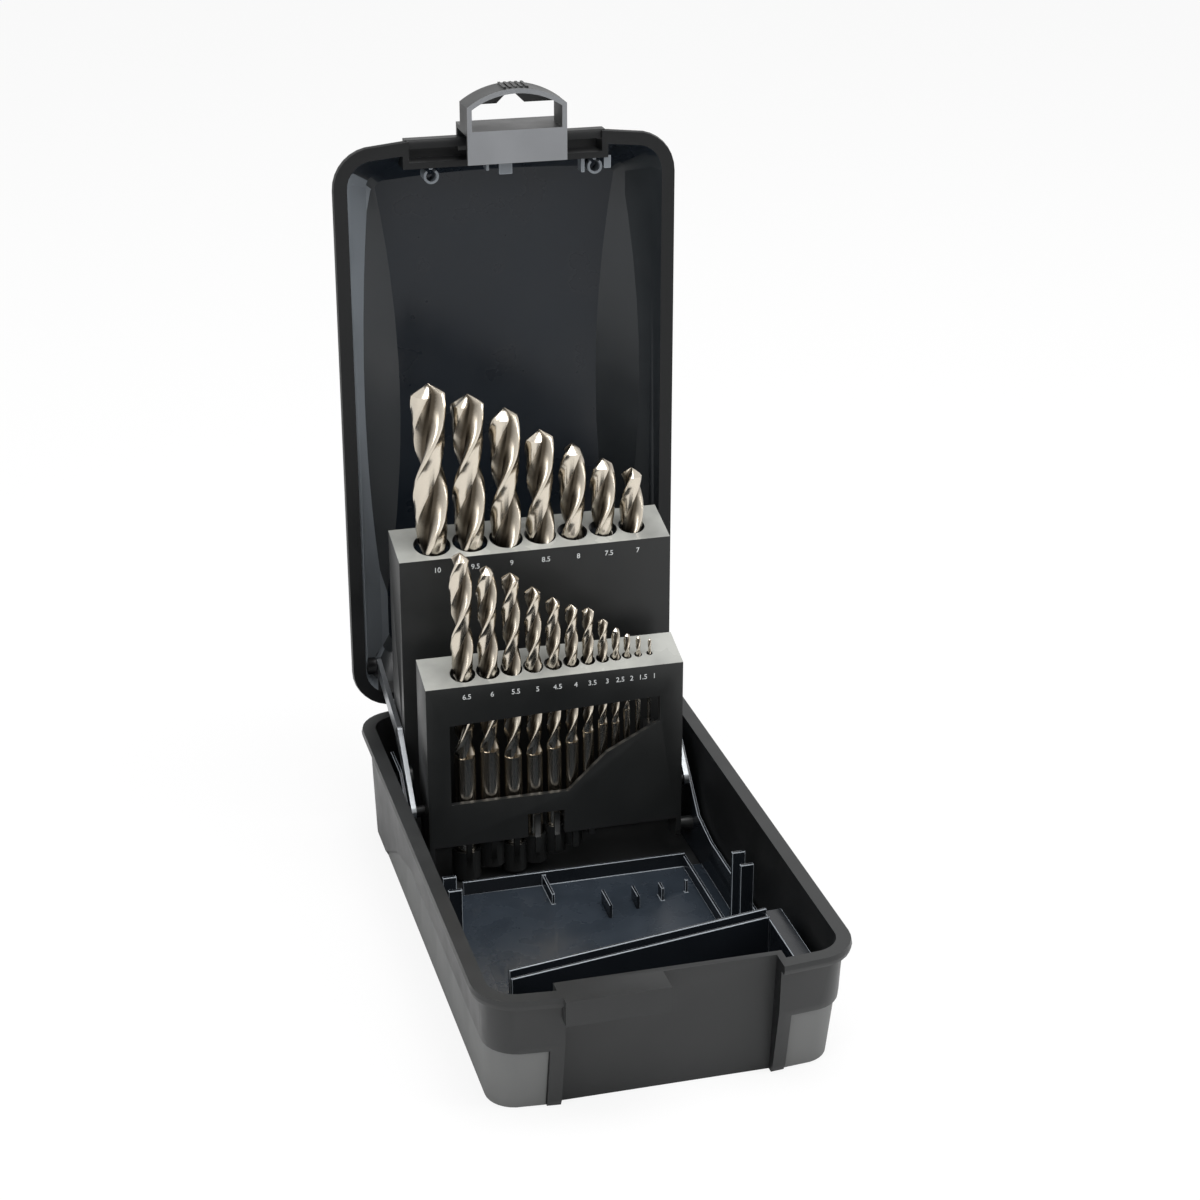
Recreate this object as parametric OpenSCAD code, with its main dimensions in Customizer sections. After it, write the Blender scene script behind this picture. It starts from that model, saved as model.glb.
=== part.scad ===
// Hinged drill bit case: a moulded base and lid, a sliding latch handle on the lid, and two racks of
// twist drills that two side links stand up as the lid opens.
// Millimetres. X runs across, Y towards the hinge from the middle of the case, Z up from the underside.
// The lid and the latch are drawn closed and then turned open about the hinge axis.

/* [Case] */
// Room on each side of the tray for the drafted walls and the lip
side_room = 6.75; // [6.5:0.25:10]
// Length of the case along its middle
case_l = 174; // [172:0.5:190]
// Height of the base from its underside to its rim
base_h = 36; // [35:0.5:42]
// Depth of the lid outside, from its rim to its panel
lid_h = 16.8; // [16:0.2:24]
// Thickness of the moulded walls
wall_t = 1.8; // [1.4:0.1:2.2]
// Thickness of the base floor
floor_t = 1.5; // [1:0.1:1.8]
// Width of the rolled lip round both rims
lip_w = 2.3; // [1.8:0.1:2.8]
// Height of the rolled lip
lip_h = 2.6; // [2:0.1:3.2]
// Corner radius at the rim
corner_r = 12; // [9:0.5:14]
// How far the front corners stand back from the middle of the front edge
crown_sag = 3; // [0:0.5:4]
// Inset of the base side walls at the underside
side_draft = 1.1; // [0.5:0.1:2]
// Inset of the base front wall at the underside
front_draft = 5.2; // [3:0.1:6]
// Gap between the two rims when closed
rim_gap = 0.3; // [0.2:0.1:0.6]
// Distance of the edge of the lid panel from the side at its waist
waist_in = 20; // [17:0.5:20.5]
// Place of the waist along the case
waist_y = -8; // [-20:1:8]
// Slope of the lid sides at the waist
waist_tilt = 30; // [26:1:32]
// Radius of the long troughs that form the waist
waist_r = 700; // [600:10:900]

/* [Grips] */
// Thickness of the soft grips
grip_t = 1.1; // [0.8:0.1:1.4]
// Height of the soft grips
grip_h = 19; // [15:0.5:22]
// Rear end of the soft grips
grip_rear_y = 62; // [40:1:70]
// Radius of the finger grooves
groove_r = 22; // [16:1:30]
// Depth of the finger grooves
groove_depth = 0.6; // [0.3:0.1:0.7]
// Number of finger grooves on a side
groove_n = 5; // [3:1:6]
// Distance of the first finger groove behind the front of the case
groove_start = 26; // [24:1:32]

/* [Front recess and latch] */
// Width of the recess in the front of base and lid
recess_w = 56; // [50:0.5:60]
// Depth of the recess behind the middle of the front edge
recess_d = 7.5; // [7:0.1:9]
// Width of the fixed latch tab
tab_w = 26.1; // [22:0.1:28]
// Height of the fixed latch tab
tab_h = 7; // [5:0.2:9]
// Width of the sliding latch handle
latch_w = 28.6; // [24:0.2:32]
// Wall thickness of the latch handle
latch_t = 1.4; // [1.2:0.1:1.8]
// Place of the latch handle along its rail as drawn
latch_x = 1.1; // [-4:0.1:6]
// Height of the handle arch
arch_h = 11.5; // [9:0.5:14]
// Running clearance of the latch handle
latch_gap = 0.4; // [0.3:0.05:0.6]

/* [Hinge] */
// Radius of the hinge pins
pin_r = 1.25; // [1:0.05:1.4]
// Radial clearance of the hinge pins
pin_gap = 0.05; // [0.02:0.01:0.09]
// Outer radius of the hinge knuckles
knuckle_r = 2.4; // [2.2:0.1:2.6]
// Width of the lid knuckle
knuckle_w = 8; // [6:0.5:10]
// Distance of each hinge from the middle
hinge_x = 30; // [26:0.5:32]

/* [Racks] */
// Width of the front rack
front_rack_w = 76; // [74:0.5:77]
// Width of the rear rack
rear_rack_w = 80.5; // [79:0.5:81]
// Depth of the front rack
front_rack_d = 13; // [11:0.5:14]
// Depth of the rear rack
rear_rack_d = 16; // [14.5:0.5:17]
// Thickness of the rack panels and cheeks
panel_t = 1.5; // [1.2:0.1:1.6]
// Height of the front edge of the front ledge
front_ledge_z = 65.5; // [62:0.5:68]
// Height of the front edge of the rear ledge
rear_ledge_z = 96; // [92:0.5:98]
// Rise of both ledges towards their rear edge
ledge_rise = 4; // [2:0.5:5]
// Thickness of the ledges
ledge_t = 2; // [1.6:0.1:2.6]
// Gap round each drill in the ledge holes
hole_gap = 0.4; // [0.3:0.05:0.5]
// Gap round each drill in its socket
socket_gap = 0.15; // [0.1:0.05:0.25]
// Wall of the drill sockets
socket_t = 0.9; // [0.7:0.1:1.1]
// Depth of the drill sockets
socket_d = 8; // [5:0.5:9]
// Floor under each drill
socket_floor = 0.8; // [0.6:0.1:1]

/* [Linkage] */
// Height of the front rack pivot
pivot_z = 11; // [10.8:0.1:12]
// Distance of the front rack pivot behind the front rack face
pivot_back = 3.5; // [3:0.1:4]
// Step from the front to the rear rack pivot along the case
step_y = 18; // [17.5:0.1:19]
// Step from the front to the rear rack pivot in height
step_z = 17; // [16.5:0.1:17.5]
// Offset of every link peg from its pivot along the case, lid up
peg_y = 4; // [3:0.1:5]
// Offset of every link peg from its pivot in height, lid up
peg_z = 13; // [12.5:0.1:13.5]
// Radius of the rack axles
axle_r = 2; // [1.6:0.1:2.2]
// Radial clearance of the rack axles
axle_gap = 0.06; // [0.04:0.01:0.09]
// Radius of the link pegs
peg_r = 1.4; // [1.2:0.1:1.6]
// Radial clearance of the rack pegs in the links
peg_gap = 0.15; // [0.1:0.05:0.2]
// Thickness of the links
link_t = 1.4; // [1.2:0.1:1.5]
// Width of the links
link_w = 4.6; // [4.4:0.1:5]
// Side gap between rack, link and bracket
side_gap = 0.35; // [0.3:0.05:0.4]

/* [Tray] */
// Thickness of the tray walls
tray_t = 0.9; // [0.8:0.1:1.2]
// Thickness of the tray floor and side brackets
tray_floor = 0.9; // [0.7:0.1:1]
// Height of the diagonal walls in front of the drill tips
diagonal_z = 29; // [24:0.5:29.5]
// Height of the low divider under the front rack
divider_z = 6.8; // [5:0.1:7]
// Height of the posts and side shelves
post_z = 27.5; // [22:0.5:28]

/* [Hidden] */
// Drills from left to right: diameter, overall length, flute length, height of the tip above the ledge edge
REAR_DRILLS = [
    [10, 133, 87, 50.5], [9.5, 125, 81, 46.5], [9, 125, 81, 41.5], [8.5, 117, 75, 34],
    [8, 117, 75, 29], [7.5, 109, 69, 23.5], [7, 109, 69, 19.8],
];
FRONT_DRILLS = [
    [6.5, 101, 63, 38.8], [6, 93, 57, 34], [5.5, 93, 57, 31.2], [5, 86, 52, 26.2],
    [4.5, 80, 47, 22.4], [4, 75, 43, 19.5], [3.5, 70, 39, 18], [3, 61, 33, 14],
    [2.5, 57, 30, 10.8], [2, 49, 24, 8.6], [1.5, 40, 18, 7.4], [1, 34, 12, 6.2],
];

shell_colour = "#2f3030";
tray_colour = "#23272e";
grip_colour = "#77777a";
rack_colour = "#2b2b2a";
steel_colour = "#c9c0b4";
$fn = 48;
// Thickness of the flat rings that the moulded shells are stretched between
ring_t = 0.02;
eps = 0.01;
// Links and brackets beside the wider rack, and the case width that follows from them
link_x = max(front_rack_w, rear_rack_w) / 2 + side_gap;
bracket_x = link_x + link_t + side_gap;
bracket_t = tray_floor;
case_w = 2 * (bracket_x + bracket_t + side_room);
half_w = case_w / 2;
front_y = -case_l / 2;
rear_y = case_l / 2;

// Hinge axis, which lies just behind the rear lip and midway between the rims
hinge_y = rear_y + 1;
hinge_z = base_h + rim_gap / 2;
rim_z = base_h + rim_gap;
notch_gap = 0.3;
hinge_w = 3 * knuckle_w * 0.75 + 2 * notch_gap;
side_knuckle_w = (hinge_w - knuckle_w) / 2 - notch_gap;

// Recess and latch
recess_y = front_y + recess_d;
recess_foot_y = recess_y + 3.6;
tab_left = -recess_w / 2;
tab_front_y = front_y - 0.4;
tab_z = base_h - tab_h;
latch_front_y = tab_front_y - latch_gap;
flange_z = tab_z - latch_gap - latch_t;
flange_back_y = recess_y - latch_gap;
rail_front_y = latch_front_y + latch_gap + 1.6;
rail_d = 2.6;
rail_z = rim_z + 0.9;
rail_h = 3.2;
latch_top_z = rail_z + rail_h + latch_gap + latch_t;
arch_z = flange_z + 9.6;

// Racks, drills and pivots
front_axis_y = panel_t + FRONT_DRILLS[0][0] / 2 + hole_gap + 0.1;
rear_axis_y = panel_t + REAR_DRILLS[0][0] / 2 + hole_gap + 0.1;
pivot_y = 39;
rack_front_y = pivot_y - pivot_back;
rear_pivot_y = pivot_y + step_y;
rear_pivot_z = pivot_z + step_z;
rack_rear_y = rear_pivot_y + 0.5;
panel_foot_z = pivot_z + 3.8;
axle_end_x = bracket_x + bracket_t;
lobe_r = axle_r + 1.5;

// Half width inside the base at the floor, which clears the brackets
cavity_floor_x = bracket_x + bracket_t + 0.15;
cavity_rim_x = half_w - lip_w - wall_t;

// Tray: the double wall runs from the left to the right end of the lane in front of the drill tips
lane_x = front_rack_w / 2 - 1;
tip_y = pivot_y - (front_ledge_z + FRONT_DRILLS[0][3] - pivot_z);
left_y = tip_y - tray_t / 2 - 3;
right_y = left_y + 12.6;
wall_lean = (right_y - left_y) / (2 * lane_x);
divider_y = rack_front_y - 7;
bracket_front_y = -22;
cavity_front_y = front_y + lip_w + front_draft + wall_t + 0.8;
shelf_front_y = cavity_front_y + 5.7;
shelf_rear_y = right_y + 2;
shelf_w = cavity_floor_x - 1.4 - lane_x;

// Level inside the lid, from the rim outwards: depth below the rim and inset from the cavity edge
LID_STEPS = [[0, 0], [5, 1.7], [lid_h - wall_t - 2.3, 7.5], [lid_h - wall_t, 10]];

function total(list, n) = n <= 0 ? 0 : list[n - 1] + total(list, n - 1);
function diameters(drills) = [for (drill = drills) drill[0]];
function gaps(drills, gap) = [for (i = [0 : len(drills) - 2]) max((drills[i][0] + drills[i + 1][0]) / 2 + gap, 3.4)];
function drill_x(drills, gap, first_x, i) = first_x + total(gaps(drills, gap), i);
rear_gap = 1.45;
front_gap = 1.15;
rear_first_x = -total(gaps(REAR_DRILLS, rear_gap), 6) / 2 + 0.6;
front_first_x = -total(gaps(FRONT_DRILLS, front_gap), 11) / 2 + 1.6;
function rear_x(i) = drill_x(REAR_DRILLS, rear_gap, rear_first_x, i);
function front_x(i) = drill_x(FRONT_DRILLS, front_gap, front_first_x, i);
function drill_name(drill) = str("bit_", drill[0] < 10 ? "0" : "", round(drill[0] * 10));
function foot_z(drill, ledge_z) = ledge_z + drill[3] - drill[1];

// Turns what is drawn closed into its place with the lid open
module opened() {
    translate([0, hinge_y, hinge_z]) rotate([-90, 0, 0]) translate([0, -hinge_y, -hinge_z]) children();
}

// A bar along X from x0 whose outline is given as [y, z] points
module along_x(x0, length, outline) {
    translate([x0, 0, 0]) rotate([90, 0, 90]) linear_extrude(length) polygon(outline);
}

// A round bar along X
module rod(x0, x1, y, z, r) {
    translate([x0, y, z]) rotate([0, 90, 0]) cylinder(r = r, h = x1 - x0);
}

// A flat ring of the case outline, inset at the sides, front and rear, for a hull to stretch between
module ring(z, side, front, rear, r) {
    x = half_w - side - r;
    sag = crown_sag * pow((x + r / 2) / half_w, 2);
    translate([0, 0, z]) linear_extrude(ring_t) {
        for (s = [-1, 1]) {
            translate([s * x, rear_y - rear - r]) circle(r, $fn = 32);
            translate([s * x, front_y + front + sag + r]) circle(r, $fn = 32);
        }
        polygon(concat([[0, 0]], [for (i = [-4 : 4]) [x * i / 4, front_y + front + sag * pow(i / 4, 2)]]));
    }
}

// The recess in the front of base and lid up to the given height, larger by grow
module recess_prism(grow, top_z) {
    along_x(-recess_w / 2 - grow, recess_w + 2 * grow, [
        [front_y - 20, -1], [recess_foot_y + grow, -1], [recess_y + grow, base_h],
        [recess_y + grow, top_z + grow], [front_y - 20, top_z + grow],
    ]);
}

// Outer surface of the grips, smaller all round by inset
module grip_body(inset) {
    hull() {
        ring(-inset, lip_w + side_draft + 0.9 + inset, lip_w + front_draft + 1 + inset, lip_w + 3, corner_r - 4);
        ring(grip_h + 1, lip_w + side_draft + 0.2 + inset, lip_w + 1.9 + inset, lip_w + 2, corner_r - 3);
    }
}

// Region that the grips cover, seen from the side and from the front
module grip_zone(grow) {
    column_x = recess_w / 2 + 3.6 - grow;
    for (s = [-1, 1])
        translate([s > 0 ? column_x : -column_x - half_w, 0, 0]) along_x(0, half_w, [
            [front_y - 5, -1], [grip_rear_y + grow, -1], [grip_rear_y + grow, 1.5],
            [grip_rear_y - 22, grip_h - 6 + grow], [grip_rear_y - 44, grip_h + grow],
            [front_y - 5, grip_h + grow],
        ]);
}

module base_shell() {
    color(shell_colour) difference() {
        union() {
            difference() {
                union() {
                    hull() {
                        ring(0, lip_w + side_draft + 1, lip_w + front_draft + 0.6, lip_w + 3, corner_r - 4);
                        ring(2, lip_w + side_draft, lip_w + front_draft - 0.5, lip_w + 2, corner_r - 3);
                        ring(grip_h + 2, lip_w + 0.5, lip_w + 0.8, lip_w + 0.8, corner_r - lip_w);
                        ring(base_h - ring_t, lip_w, lip_w, lip_w, corner_r - lip_w);
                    }
                    hull() {
                        ring(base_h - lip_h, 0.4, 0.4, 0.4, corner_r - 0.4);
                        ring(base_h - lip_h / 2, 0, 0, 0, corner_r);
                        ring(base_h - ring_t, 0.3, 0.3, 0.3, corner_r - 0.3);
                    }
                }
                recess_prism(0, base_h + 1);
                difference() {
                    grip_zone(0);
                    grip_body(grip_t);
                }
            }
            translate([tab_left - 1, tab_front_y, tab_z])
                cube([tab_w + 1, recess_y - tab_front_y + wall_t / 2, tab_h]);
            for (s = [-1, 1]) base_knuckles(s * hinge_x);
        }
        difference() {
            hull() {
                ring(floor_t, half_w - cavity_floor_x, cavity_front_y - front_y, lip_w + wall_t + 2, 7);
                ring(base_h + 1, half_w - cavity_rim_x, lip_w + wall_t, lip_w + wall_t, corner_r - lip_w - wall_t);
            }
            recess_prism(wall_t, base_h + 1);
        }
        for (s = [-1, 1]) {
            rod(s * hinge_x - hinge_w, s * hinge_x + hinge_w, hinge_y, hinge_z, pin_r + pin_gap);
            translate([s * hinge_x - knuckle_w / 2 - notch_gap, hinge_y - knuckle_r - notch_gap, base_h - lip_h - 1])
                cube([knuckle_w + 2 * notch_gap, 2 * knuckle_r + 2, lip_h + 5]);
        }
    }
}

// The two fixed knuckles of one hinge with their webs
module base_knuckles(x) {
    web_y = rear_y - lip_w - 0.8;
    for (start = [x - hinge_w / 2, x + hinge_w / 2 - side_knuckle_w]) {
        rod(start, start + side_knuckle_w, hinge_y, hinge_z, knuckle_r);
        translate([start, web_y, hinge_z - knuckle_r]) cube([side_knuckle_w, hinge_y - web_y, knuckle_r - 0.3]);
    }
}

module grip(side) {
    groove_step = (grip_rear_y - 20 - front_y - groove_start) / groove_n;
    groove_x = half_w - lip_w - side_draft - 0.2 + groove_r - groove_depth;
    color(grip_colour) difference() {
        intersection() {
            grip_zone(-0.05);
            grip_body(0);
            translate([side > 0 ? 0 : -case_w, -case_l, 0]) cube([case_w, 2 * case_l, grip_h + 1]);
        }
        grip_body(grip_t - 0.05);
        for (i = [0 : groove_n - 1])
            translate([side * groove_x, front_y + groove_start + groove_step * (i + 0.5), -1])
                cylinder(r = groove_r, h = grip_h + 3, $fn = 64);
    }
}

module grip_left() { grip(-1); }
module grip_right() { grip(1); }

// One wall of the tray between two points in plan
module tray_wall(a, b, foot_z, top_z) {
    length = norm(b - a);
    translate([a[0], a[1], foot_z]) rotate([0, 0, atan2(b[1] - a[1], b[0] - a[0])])
        translate([0, -tray_t / 2, 0]) cube([length, tray_t, top_z - foot_z]);
}

// Floor of the tray with its low walls, the comb behind the diagonal walls and the fins
module tray_base() {
    strip_x = front_rack_w / 2 - 1.4;
    color(tray_colour) {
        translate([-lane_x, left_y - 2.6, floor_t]) cube([2 * lane_x, divider_y - left_y + 2.6, tray_floor]);
        tray_wall([-30, divider_y], [lane_x, divider_y], floor_t, divider_z);
        tray_wall([-lane_x, left_y - 2.6], [-lane_x, divider_y], floor_t, divider_z - 0.8);
        tray_wall([lane_x, shelf_rear_y + 0.2], [lane_x, divider_y], floor_t, divider_z - 0.8);
        tray_wall([-6, divider_y - 0.3], [-6, divider_y - 12], floor_t, divider_z - 1);
        for (i = [0 : 4]) tray_wall([-33 + 4.4 * i, left_y + 5 + i * 0.6], [-33 + 4.4 * i, left_y + 14], floor_t, 7);
        for (x = [8, 17, 25, 33]) tray_wall([x, 2 + x / 3], [x, 14], floor_t, 6.5);
        for (x = [-bracket_x, strip_x])
            translate([x, bracket_front_y, floor_t])
                cube([bracket_x - strip_x, divider_y - bracket_front_y, tray_floor]);
    }
}

// The double diagonal wall in front of the drill tips
module diagonal_walls() {
    foot = floor_t + tray_floor;
    start = -lane_x + 0.6;
    color(tray_colour) {
        tray_wall([start, left_y], [lane_x - 0.1, right_y], foot, diagonal_z);
        tray_wall([start, left_y - 2.6], [lane_x - 0.1, right_y - 2.6], foot, diagonal_z - 1);
        for (x = [-24, 0, 24])
            tray_wall([x, left_y + (x + lane_x) * wall_lean - 2.6], [x, left_y + (x + lane_x) * wall_lean], foot, 24);
    }
}

// Raised shelf beside the front pocket
module side_shelf() {
    color(tray_colour)
        translate([lane_x, shelf_front_y, floor_t])
            cube([shelf_w, shelf_rear_y - shelf_front_y, post_z - 0.5 - floor_t]);
}

// Side plate of the tray that carries both rack axles
module bracket(side) {
    x0 = side > 0 ? bracket_x : -bracket_x - bracket_t;
    rise = rear_pivot_z + axle_r + 2.5;
    color(tray_colour) difference() {
        along_x(x0, bracket_t, [
            [bracket_front_y, floor_t], [rear_pivot_y + 9, floor_t], [rear_pivot_y + 9, rise],
            [rear_pivot_y - 5, rise], [pivot_y - 6, pivot_z + axle_r + 3],
            [divider_y - 8, post_z * 0.5], [bracket_front_y, post_z * 0.5],
        ]);
        rod(x0 - 1, x0 + bracket_t + 1, pivot_y, pivot_z, axle_r + axle_gap);
        rod(x0 - 1, x0 + bracket_t + 1, rear_pivot_y, rear_pivot_z, axle_r + axle_gap);
    }
}

module bracket_left() { bracket(-1); }
module bracket_right() { bracket(1); }

// Pair of posts beside the folded racks, the front one starting at y
module posts(side, y) {
    inner = front_rack_w / 2 + 0.5;
    foot = floor_t + tray_floor;
    color(tray_colour) translate([side > 0 ? inner : -bracket_x, y, foot]) {
        for (step = [0, 7.5]) translate([0, step, 0]) cube([bracket_x - inner, 1.2, post_z - foot]);
        cube([bracket_x - inner, 8.7, tray_floor]);
    }
}

module posts_left() { posts(-1, -12); }
module posts_right() { posts(1, -19); }

module hinge_pin(x) {
    color(steel_colour) rod(x - hinge_w / 2, x + hinge_w / 2, hinge_y, hinge_z, pin_r);
}

module hinge_pin_left() { hinge_pin(-hinge_x); }
module hinge_pin_right() { hinge_pin(hinge_x); }

// One level of the lid: wall thickness t in or out from the cavity surface
module lid_ring(step, t) {
    side = lip_w + wall_t - t + step[1];
    ring(rim_z + step[0] + t, side, side, side, max(corner_r - side, 3.5));
}

// Long troughs that give the lid its waisted sides, moved out by the wall that they leave
module lid_waist(out) {
    for (s = [0, 1])
        mirror([s, 0, 0]) translate([half_w - waist_in, waist_y, rim_z + lid_h - wall_t])
            rotate([0, 90 + waist_tilt, 0]) translate([-waist_r, 0, -6])
                cylinder(r = waist_r - out, h = 40, $fn = 180);
}

module lid_shell() {
    color(shell_colour) opened() difference() {
        union() {
            difference() {
                union() {
                    hull() {
                        for (step = LID_STEPS) lid_ring(step, step[0] > 0 ? wall_t - ring_t : 0);
                        ring(rim_z, lip_w, lip_w, lip_w, corner_r - lip_w);
                    }
                    hull() {
                        ring(rim_z, 0.3, 0.3, 0.3, corner_r - 0.3);
                        ring(rim_z + lip_h / 2, 0, 0, 0, corner_r);
                        ring(rim_z + lip_h - ring_t, 0.4, 0.4, 0.4, corner_r - 0.4);
                    }
                }
                recess_prism(0, latch_top_z + latch_gap);
                hinge_clearance();
                lid_waist(wall_t);
            }
            latch_rail();
            for (s = [-1, 1]) {
                lid_knuckle(s * hinge_x);
                lid_boss(s);
            }
        }
        difference() {
            hull() {
                ring(rim_z - 1, lip_w + wall_t, lip_w + wall_t, lip_w + wall_t, corner_r - lip_w - wall_t);
                for (step = LID_STEPS) lid_ring(step, -ring_t);
            }
            recess_prism(wall_t, latch_top_z + latch_gap);
            lid_waist(0);
            latch_rail();
            for (s = [-1, 1]) lid_boss(s);
        }
        for (s = [-1, 1])
            rod(s * hinge_x - hinge_w, s * hinge_x + hinge_w, hinge_y, hinge_z, pin_r + pin_gap);
    }
}

// Cuts in the lid lip round the fixed knuckles
module hinge_clearance() {
    for (x = [-hinge_x, hinge_x])
        translate([x - hinge_w / 2 - notch_gap, hinge_y - knuckle_r - notch_gap, rim_z - 1])
            cube([hinge_w + 2 * notch_gap, 6, knuckle_r + notch_gap + 1]);
}

module lid_knuckle(x) {
    web_y = rear_y - lip_w - 0.8;
    rod(x - knuckle_w / 2, x + knuckle_w / 2, hinge_y, hinge_z, knuckle_r);
    translate([x - knuckle_w / 2, web_y, rim_z]) cube([knuckle_w, hinge_y - web_y, knuckle_r - 0.2]);
}

// Bar across the recess on which the latch handle slides
module latch_rail() {
    translate([-recess_w / 2 - 1, rail_front_y, rail_z]) cube([recess_w + 2, rail_d, rail_h]);
}

// Boss on the lid wall with the peg that drives one link
module lid_boss(side) {
    y = hinge_y - peg_z;
    z = hinge_z + peg_y;
    boss_x = link_x + link_t + side_gap;
    rod(side > 0 ? link_x : -cavity_rim_x, side > 0 ? cavity_rim_x : -link_x, y, z, peg_r);
    rod(side > 0 ? boss_x : -cavity_rim_x, side > 0 ? cavity_rim_x : -boss_x, y, z, peg_r + 1.2);
}

module latch_handle() {
    color(shell_colour) opened() translate([latch_x, 0, 0]) {
        x0 = -latch_w / 2;
        wall_y = latch_front_y - latch_t;
        lip_y = rail_front_y + rail_d + latch_gap;
        along_x(x0, latch_w, [
            [wall_y, flange_z], [flange_back_y, flange_z], [flange_back_y, flange_z + latch_t],
            [latch_front_y, flange_z + latch_t], [latch_front_y, latch_top_z - latch_t],
            [lip_y, latch_top_z - latch_t], [lip_y, latch_top_z - latch_t - 1.4],
            [lip_y + 1.2, latch_top_z - latch_t - 1.4], [lip_y + 1.2, latch_top_z], [wall_y, latch_top_z],
        ]);
        difference() {
            translate([0, 0, flange_z]) linear_extrude(arch_z - flange_z) arch_outline(0);
            translate([0, 0, flange_z - 1]) linear_extrude(arch_z - flange_z + 1 - latch_t) arch_outline(latch_t);
            translate([0, 0, flange_z - 1]) linear_extrude(arch_z - flange_z + 2) arch_window();
            translate([x0 - 1, wall_y + eps, flange_z - 1]) cube([latch_w + 2, 30, 30]);
        }
        // Finger ridges on the crest of the arch
        for (i = [-2 : 2])
            translate([1.6 * i - 0.35, wall_y - arch_h - 0.35, flange_z + 1]) cube([0.7, 0.9, arch_z - flange_z - 2]);
    }
}

// Outline of the handle arch in plan, inset by the given wall
module arch_outline(inset) {
    wall_y = latch_front_y - latch_t;
    half = latch_w / 2;
    crest_r = 24;
    intersection() {
        translate([-half + inset, wall_y - arch_h + inset]) square([latch_w - 2 * inset, arch_h + 2]);
        translate([0, wall_y - arch_h + crest_r]) circle(crest_r - inset, $fn = 96);
    }
}

// Opening of the hanging web with its notch
module arch_window() {
    wall_y = latch_front_y - latch_t;
    half = latch_w / 2 - latch_t;
    web_y = wall_y - arch_h + 5.6;
    polygon([
        [-half, wall_y + 1], [-half, web_y], [-4, web_y], [-1, web_y - 2.9], [1, web_y - 2.9],
        [4, web_y], [half, web_y], [half, wall_y + 1],
    ]);
}

// Flat outline of a link between two points, its ends round
module link_bar(a, b) {
    length = norm(b - a);
    translate(a) rotate([0, 0, atan2(b[1] - a[1], b[0] - a[0])])
        translate([0, 0.05 - link_w / 2]) square([length, link_w - 0.1]);
    translate(a) circle(link_w / 2);
    translate(b) circle(link_w / 2);
}

module link(side) {
    front = [pivot_y + peg_y, pivot_z + peg_z];
    rear = [rear_pivot_y + peg_y, rear_pivot_z + peg_z];
    lid = [hinge_y + peg_y, hinge_z + peg_z];
    color(steel_colour) translate([side > 0 ? link_x : -link_x - link_t, 0, 0])
        rotate([90, 0, 90]) linear_extrude(link_t) difference() {
            union() {
                link_bar(front, rear);
                link_bar(rear, lid);
            }
            for (peg = [front, rear]) translate(peg) circle(peg_r + peg_gap);
            translate(lid) circle(peg_r + pin_gap);
        }
}

module link_left() { link(-1); }
module link_right() { link(1); }

// A rack: panel, sloped ledge with holes, cheeks, axles and link pegs, and a socket for each drill
module rack(drills, xs, width, depth, face_y, axis_y, ledge_z, foot, pivot) {
    half = width / 2;
    color(rack_colour) difference() {
        union() {
            translate([-half, face_y, foot]) cube([width, panel_t, ledge_z - foot]);
            along_x(-half, width, [
                [face_y, ledge_z - ledge_t], [face_y + depth, ledge_z + ledge_rise - ledge_t],
                [face_y + depth, ledge_z + ledge_rise], [face_y, ledge_z],
            ]);
            for (s = [-1, 1]) rack_cheek(s, half, depth, face_y, ledge_z, pivot);
            for (i = [0 : len(drills) - 1]) socket(drills[i], xs[i], face_y, axis_y, ledge_z, foot);
        }
        for (i = [0 : len(drills) - 1]) {
            translate([xs[i], face_y + axis_y, foot_z(drills[i], ledge_z)])
                cylinder(r = drills[i][0] / 2 + socket_gap, h = ledge_z - foot_z(drills[i], ledge_z));
            translate([xs[i], face_y + axis_y, ledge_z - ledge_t - 6])
                cylinder(r = drills[i][0] / 2 + hole_gap, h = 20);
        }
    }
}

// End wall of a rack with its axle and the peg that the link turns on
module rack_cheek(side, half, depth, face_y, ledge_z, pivot) {
    x0 = side > 0 ? half - panel_t : -half;
    along_x(x0, panel_t, [
        [face_y, pivot[1]], [pivot[0], pivot[1] - lobe_r], [pivot[0] + 3, pivot[1] - lobe_r],
        [face_y + depth, pivot[1] - lobe_r + 8], [face_y + depth, ledge_z + ledge_rise - ledge_t],
        [face_y, ledge_z - ledge_t],
    ]);
    rod(x0, x0 + panel_t, pivot[0], pivot[1], lobe_r);
    inner = half - panel_t;
    rod(side > 0 ? inner : -axle_end_x, side > 0 ? axle_end_x : -inner, pivot[0], pivot[1], axle_r);
    peg_end = link_x + link_t;
    rod(side > 0 ? inner : -peg_end, side > 0 ? peg_end : -inner, pivot[0] + peg_y, pivot[1] + peg_z, peg_r);
}

// Cup under one drill with the rib that joins it to the panel
module socket(drill, x, face_y, axis_y, ledge_z, foot) {
    r = drill[0] / 2 + socket_gap + socket_t;
    z0 = foot_z(drill, ledge_z) - socket_floor;
    height = socket_d + socket_floor;
    rib_top = max(z0 + height, foot + 6);
    translate([x, face_y + axis_y, z0]) cylinder(r = r, h = height);
    translate([x - 0.8, face_y + panel_t / 2, max(z0, foot - 6)])
        cube([1.6, axis_y - panel_t / 2, rib_top - max(z0, foot - 6)]);
}

module rack_rear() {
    rack(REAR_DRILLS, [for (i = [0 : 6]) rear_x(i)], rear_rack_w, rear_rack_d, rack_rear_y, rear_axis_y,
        rear_ledge_z, rear_pivot_z - 14, [rear_pivot_y, rear_pivot_z]);
}

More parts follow.
